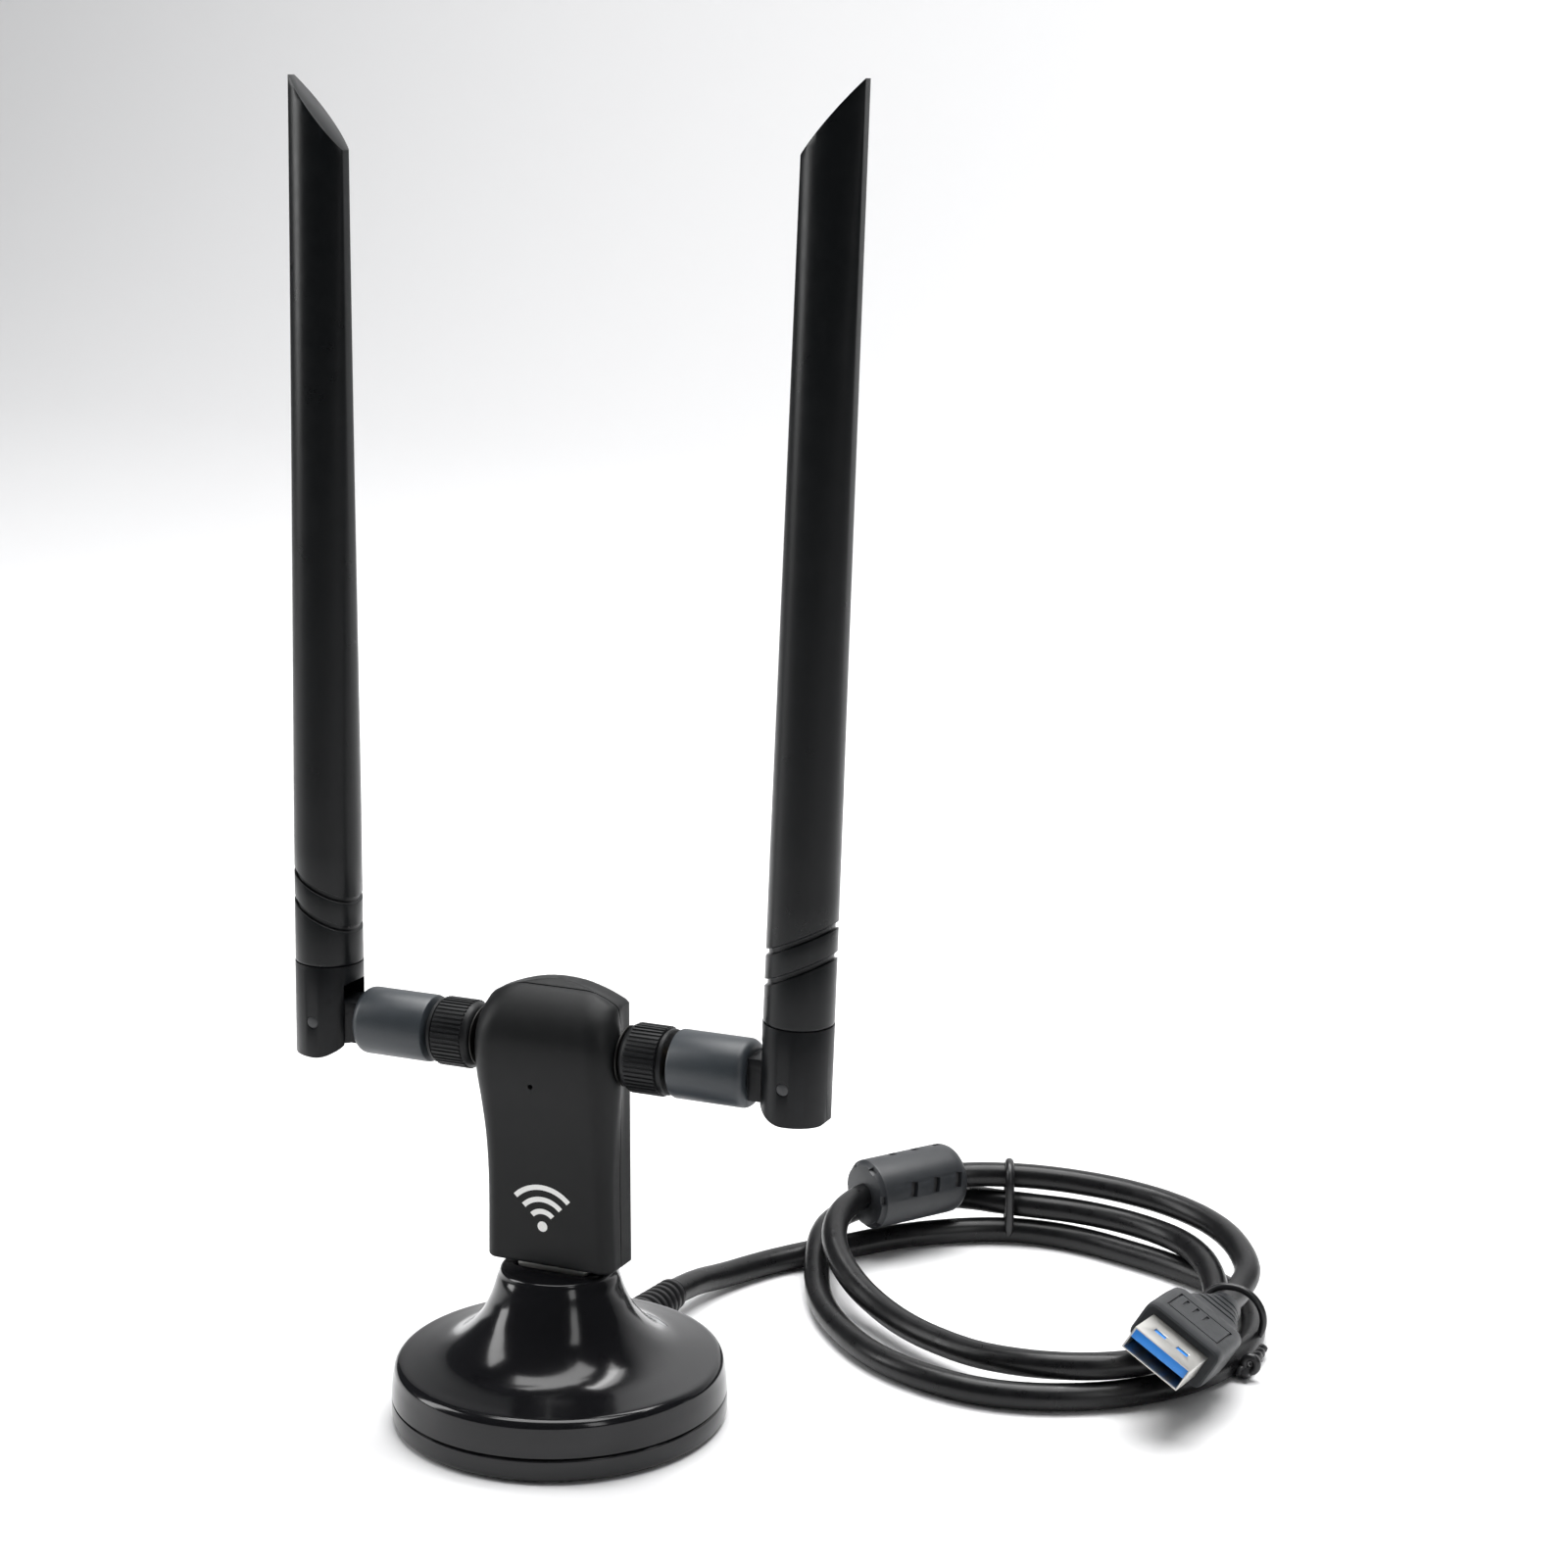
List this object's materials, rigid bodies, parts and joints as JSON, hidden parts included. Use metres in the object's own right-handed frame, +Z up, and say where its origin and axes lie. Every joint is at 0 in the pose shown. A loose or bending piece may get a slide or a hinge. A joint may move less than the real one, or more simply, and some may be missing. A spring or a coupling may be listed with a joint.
{
  "type": "usb wifi adapter",
  "caption": "Two-antenna USB wifi adapter plugged into a weighted round desk cradle, with a coiled cable, ferrite core and USB plug.",
  "frame": {"origin": "centre of the cradle's underside, on the surface it stands on", "axes": "+Z up, adapter's front faces -Y, antenna arms along X, cable leaves towards +Y"},
  "size_m": [0.1605, 0.1471, 0.2311],
  "materials": {
    "gloss_black": "gloss",
    "cradle_plastic": "satin",
    "foot_rubber": "matte",
    "weight_steel": "zinc plated",
    "screw_steel": "plated",
    "board_green": "solder mask",
    "bright_steel": "bright plated",
    "tongue_blue": "satin",
    "tongue_black": "satin",
    "contact_gold": "gold plated",
    "window_smoke": "smoked clear",
    "lamp_white": "diffuse",
    "boot_rubber": "satin",
    "cable_pvc": "satin",
    "ferrite_plastic": "satin",
    "ferrite_ceramic": "matte",
    "tie_pvc": "satin",
    "plug_plastic": "satin",
    "adapter_plastic": "fine texture",
    "chip_black": "matte",
    "jack_metal": "black plated",
    "insulator_white": "satin",
    "nut_plastic": "satin",
    "brass": "turned",
    "arm_plastic": "satin",
    "hinge_plastic": "satin",
    "pin_dark": "satin",
    "radome_plastic": "satin",
    "element_copper": "etched",
    "coax_sheath": "satin"
  },
  "bodies": {
    "cradle": {"cradle_cover": "gloss_black", "cradle_base": "gloss_black", "cradle_foot": "foot_rubber", "cradle_weight": "weight_steel", "cradle_screws": "screw_steel", "cradle_board": "board_green", "socket_shell": "bright_steel", "socket_tongue": "tongue_black", "socket_contacts": "contact_gold", "indicator_window": "window_smoke", "indicator_led": "lamp_white", "cable_boot": "boot_rubber", "cable_tail": "cable_pvc", "cord_lead": "cable_pvc", "cord_coil": "cable_pvc", "ferrite_cover": "ferrite_plastic", "ferrite_core": "ferrite_ceramic", "coil_tie_back": "tie_pvc", "coil_tie_front": "tie_pvc", "plug_body": "plug_plastic", "plug_shell": "bright_steel", "plug_tongue": "tongue_blue", "plug_contacts": "contact_gold"},
    "adapter": {"adapter_front_shell": "adapter_plastic", "adapter_rear_shell": "adapter_plastic", "adapter_plug_shell": "bright_steel", "adapter_plug_tongue": "tongue_blue", "adapter_plug_contacts": "contact_gold", "adapter_board": "board_green", "adapter_shield": "bright_steel", "adapter_chips": "chip_black", "status_led": "lamp_white", "right_jack": "jack_metal", "right_jack_insulator": "insulator_white", "right_jack_pin": "contact_gold", "left_jack": "jack_metal", "left_jack_insulator": "insulator_white", "left_jack_pin": "contact_gold"},
    "right_ferrule": {"right_ferrule": "brass", "right_ferrule_contact": "insulator_white"},
    "right_nut": {"right_nut": "nut_plastic", "right_nut_insert": "brass"},
    "right_arm": {"right_arm_sleeve": "arm_plastic", "right_arm_knuckle": "hinge_plastic"},
    "right_antenna": {"right_hinge_base": "hinge_plastic", "right_hinge_pin": "pin_dark", "right_radome": "radome_plastic", "right_dipole": "element_copper", "right_antenna_coax": "coax_sheath"},
    "left_ferrule": {"left_ferrule": "brass", "left_ferrule_contact": "insulator_white"},
    "left_nut": {"left_nut": "nut_plastic", "left_nut_insert": "brass"},
    "left_arm": {"left_arm_sleeve": "arm_plastic", "left_arm_knuckle": "hinge_plastic"},
    "left_antenna": {"left_hinge_base": "hinge_plastic", "left_hinge_pin": "pin_dark", "left_radome": "radome_plastic", "left_dipole": "element_copper", "left_antenna_coax": "coax_sheath"}
  },
  "joints": [
    {"name": "adapter_unplug", "type": "slide", "parent": "cradle", "child": "adapter", "axis": [0, 0, 1], "range_m": [0, 0.0135]},
    {"name": "right_screw_travel", "type": "slide", "parent": "adapter", "child": "right_ferrule", "axis": [1, 0, 0], "range_m": [0, 0.0036]},
    {"name": "right_nut_turn", "type": "hinge", "parent": "right_ferrule", "child": "right_nut", "pos_m": [0.019, 0, 0.068], "axis": [1, 0, 0], "range_deg": [0, 1800]},
    {"name": "right_arm_swivel", "type": "hinge", "parent": "right_ferrule", "child": "right_arm", "pos_m": [0.03, 0, 0.068], "axis": [1, 0, 0], "range_deg": [-90, 90]},
    {"name": "right_antenna_tilt", "type": "hinge", "parent": "right_arm", "child": "right_antenna", "pos_m": [0.0453, 0, 0.068], "axis": [0, 1, 0], "range_deg": [-2.1, 87.9]},
    {"name": "left_screw_travel", "type": "slide", "parent": "adapter", "child": "left_ferrule", "axis": [-1, 0, 0], "range_m": [0, 0.0036]},
    {"name": "left_nut_turn", "type": "hinge", "parent": "left_ferrule", "child": "left_nut", "pos_m": [-0.019, 0, 0.068], "axis": [-1, 0, 0], "range_deg": [0, 1800]},
    {"name": "left_arm_swivel", "type": "hinge", "parent": "left_ferrule", "child": "left_arm", "pos_m": [-0.03, 0, 0.068], "axis": [-1, 0, 0], "range_deg": [-90, 90]},
    {"name": "left_antenna_tilt", "type": "hinge", "parent": "left_arm", "child": "left_antenna", "pos_m": [-0.0453, 0, 0.068], "axis": [0, -1, 0], "range_deg": [0, 91.05]}
  ]
}
